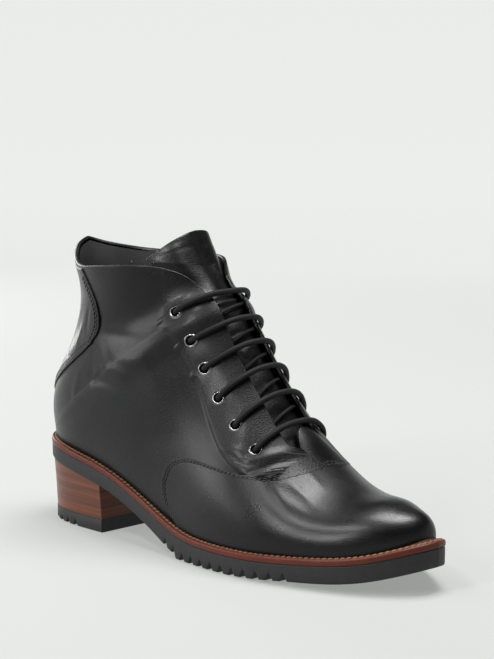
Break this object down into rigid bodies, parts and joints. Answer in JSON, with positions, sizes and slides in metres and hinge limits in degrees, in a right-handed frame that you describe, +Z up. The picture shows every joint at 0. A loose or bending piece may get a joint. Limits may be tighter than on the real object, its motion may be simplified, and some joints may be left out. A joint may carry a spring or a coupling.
{
  "type": "lace up ankle boot",
  "caption": "Right lace up ankle boot with a smooth leather upper, welt, notched rubber tread, block heel and side zip.",
  "frame": {"origin": "centre of the footprint on the floor", "axes": "+X from heel to toe, +Y to the inner side of the foot, +Z up"},
  "size_m": [0.2637, 0.086, 0.16],
  "materials": {
    "black_leather": "smooth glossy black leather",
    "tongue_leather": "smooth black leather",
    "brown_welt": "matt red brown",
    "black_rubber": "matt black rubber",
    "heel_wood": "lacquered brown wood",
    "insole_leather": "matt black leather",
    "gunmetal": "polished dark metal",
    "waxed_cord": "waxed black cord",
    "zip_metal": "polished dark metal"
  },
  "bodies": {
    "boot": {"outsole": "black_rubber", "welt": "brown_welt", "heel_block": "heel_wood", "top_lift": "black_rubber", "insole": "insole_leather", "upper": "black_leather", "tongue": "tongue_leather", "eyelet_lateral_1": "gunmetal", "eyelet_medial_1": "gunmetal", "eyelet_lateral_2": "gunmetal", "eyelet_medial_2": "gunmetal", "eyelet_lateral_3": "gunmetal", "eyelet_medial_3": "gunmetal", "eyelet_lateral_4": "gunmetal", "eyelet_medial_4": "gunmetal", "eyelet_lateral_5": "gunmetal", "eyelet_medial_5": "gunmetal", "eyelet_lateral_6": "gunmetal", "eyelet_medial_6": "gunmetal", "lace": "waxed_cord", "zip_chain": "zip_metal", "zip_slider": "zip_metal"},
    "zip_pull": {"zip_pull": "zip_metal"}
  },
  "joints": [
    {"name": "zip_pull_hinge", "type": "hinge", "parent": "boot", "child": "zip_pull", "pos_m": [-0.08843, 0.03348, 0.13511], "axis": [0.9162, 0.4007, 0], "range_deg": [0, 150]}
  ]
}
